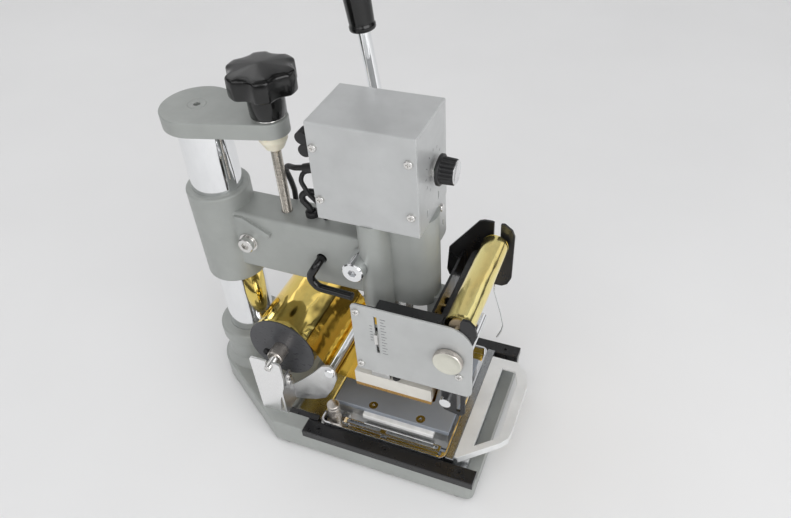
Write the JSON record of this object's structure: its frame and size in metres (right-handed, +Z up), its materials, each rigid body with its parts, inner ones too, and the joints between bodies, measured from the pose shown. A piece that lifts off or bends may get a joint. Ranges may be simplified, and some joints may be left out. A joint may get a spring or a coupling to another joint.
{
  "type": "hot foil stamping press",
  "caption": "Bench-top hot foil stamper: column and height-adjustable arm, lever-driven heated head, foil unwind and feed rollers, sliding card table.",
  "frame": {"origin": "centre of the underside of the rubber foot under the column, on the bench plane", "axes": "+X towards the operator's end with the drawer handle, +Y towards the lever side, +Z up along the column"},
  "size_m": [0.2845, 0.1516, 0.4309],
  "materials": {
    "cast_paint": "silver-grey enamel over cast metal, slight orange peel",
    "sheet_paint": "satin silver enamel on folded sheet",
    "chrome": "polished hard chrome",
    "steel": "bright zinc or plain steel",
    "black_metal": "satin black enamel on steel",
    "black_gloss": "glossy black moulded plastic",
    "black_matte": "matt black plastic or sleeving",
    "nylon": "cream nylon",
    "foil_gold": "mirror gold metallised film",
    "rubber": "black rubber",
    "bronze": "machined bronze or brass",
    "aluminium": "milled aluminium",
    "insulator": "off-white heat-insulating board",
    "flange_grey": "dark grey satin plastic",
    "white_plastic": "white plastic",
    "circuit": "circuit board and iron-cored transformer"
  },
  "bodies": {
    "base": {"base_casting": "cast_paint", "rubber_feet": "rubber", "rails": "black_metal", "base_screws": "steel", "column": "chrome", "top_bracket": "cast_paint", "screw_bush": "nylon", "unwind_brackets": "steel", "guide_rod": "chrome", "foil_web_rear": "foil_gold"},
    "height_screw": {"star_knob": "black_gloss", "height_screw": "steel"},
    "arm": {"arm_casting": "cast_paint", "clamp_set": "steel", "bronze_bushes": "bronze", "return_springs": "steel", "box_chassis": "sheet_paint", "box_cover": "sheet_paint", "panel_screws": "steel", "switch_housing": "black_matte", "electronics": "circuit", "cables": "black_matte", "feed_frame": "black_metal", "front_plate": "sheet_paint", "front_rod": "chrome", "tension_wire": "steel", "foil_web_front": "foil_gold"},
    "lever": {"lever_shaft": "chrome", "drive_pinion": "steel", "lever_hub": "steel", "lever_rod": "chrome", "lever_grip": "black_gloss"},
    "head": {"rack_ram": "steel", "crosshead": "aluminium", "guide_pillars": "chrome", "insulator_plate": "insulator", "heater_block": "insulator", "die_plate": "bronze", "cartridge_heaters": "steel", "foil_web_head": "foil_gold"},
    "unwind_spool": {"spool_shaft": "steel", "spool_flanges": "flange_grey", "foil_roll": "foil_gold"},
    "feed_drive": {"feed_shaft": "chrome", "feed_knob": "steel"},
    "pinch": {"pinch_roller": "rubber"},
    "takeup": {"takeup_roll": "foil_gold"},
    "pointer": {"length_pointer": "steel"},
    "temp_dial": {"temp_knob": "black_matte"},
    "power_rocker": {"rocker": "black_matte"},
    "table": {"table_plate": "sheet_paint", "tray": "chrome", "table_handle": "steel", "anvil_block": "aluminium", "anvil_plate": "steel", "table_screws": "steel", "edge_strip": "white_plastic"},
    "card_stop": {"stop_plate": "steel", "side_gauge": "chrome"},
    "stop_screw": {"stop_thumbscrew": "steel"}
  },
  "joints": [
    {"name": "height_knob", "type": "hinge", "parent": "base", "child": "height_screw", "pos_m": [0.06, 0, 0.29], "axis": [0, 0, 1], "range_deg": [-5190, 4613]},
    {"name": "arm_height", "type": "slide", "parent": "base", "child": "arm", "axis": [0, 0, 1], "range_m": [-0.016, 0.018]},
    {"name": "lever_swing", "type": "hinge", "parent": "arm", "child": "lever", "pos_m": [0.13, 0, 0.1855], "axis": [0, 1, 0], "range_deg": [0, 80]},
    {"name": "head_press", "type": "slide", "parent": "arm", "child": "head", "axis": [0, 0, -1], "range_m": [-0.0001, 0.0176], "deforming": ["return_springs"]},
    {"name": "table_slide", "type": "slide", "parent": "base", "child": "table", "axis": [1, 0, 0], "range_m": [0, 0.09]},
    {"name": "unwind_spin", "type": "hinge", "parent": "base", "child": "unwind_spool", "pos_m": [0.057, 0, 0.0857], "axis": [0, 1, 0], "continuous": true},
    {"name": "feed_spin", "type": "hinge", "parent": "arm", "child": "feed_drive", "pos_m": [0.209, 0, 0.141], "axis": [0, 1, 0], "continuous": true},
    {"name": "pinch_spin", "type": "hinge", "parent": "arm", "child": "pinch", "pos_m": [0.2026, 0, 0.152], "axis": [0, 1, 0], "continuous": true},
    {"name": "takeup_spin", "type": "hinge", "parent": "arm", "child": "takeup", "pos_m": [0.2137, 0, 0.1685], "axis": [0, 1, 0], "continuous": true},
    {"name": "length_set", "type": "slide", "parent": "arm", "child": "pointer", "axis": [0, 0, 1], "range_m": [-0.0115, 0.0165]},
    {"name": "temp_turn", "type": "hinge", "parent": "arm", "child": "temp_dial", "pos_m": [0.19, 0.002, 0.2615], "axis": [-1, 0, 0], "range_deg": [0, 300]},
    {"name": "rocker_tip", "type": "hinge", "parent": "arm", "child": "power_rocker", "pos_m": [0.105, -0.019, 0.281], "axis": [0, 1, 0], "range_deg": [0, 14]},
    {"name": "stop_slide", "type": "slide", "parent": "table", "child": "card_stop", "axis": [1, 0, 0], "range_m": [0, 0.005]},
    {"name": "stop_lock", "type": "hinge", "parent": "card_stop", "child": "stop_screw", "pos_m": [0.1053, -0.0534, 0.03], "axis": [0, 0, 1], "range_deg": [0, 360]}
  ],
  "couplings": [
    {"joint": "height_knob", "follows": "arm_height", "rad_per_m": -5026.5},
    {"joint": "head_press", "follows": "lever_swing", "m_per_rad": 0.0125},
    {"joint": "pinch_spin", "follows": "feed_spin", "ratio": -0.37778},
    {"joint": "takeup_spin", "follows": "feed_spin", "ratio": 0.31481}
  ]
}
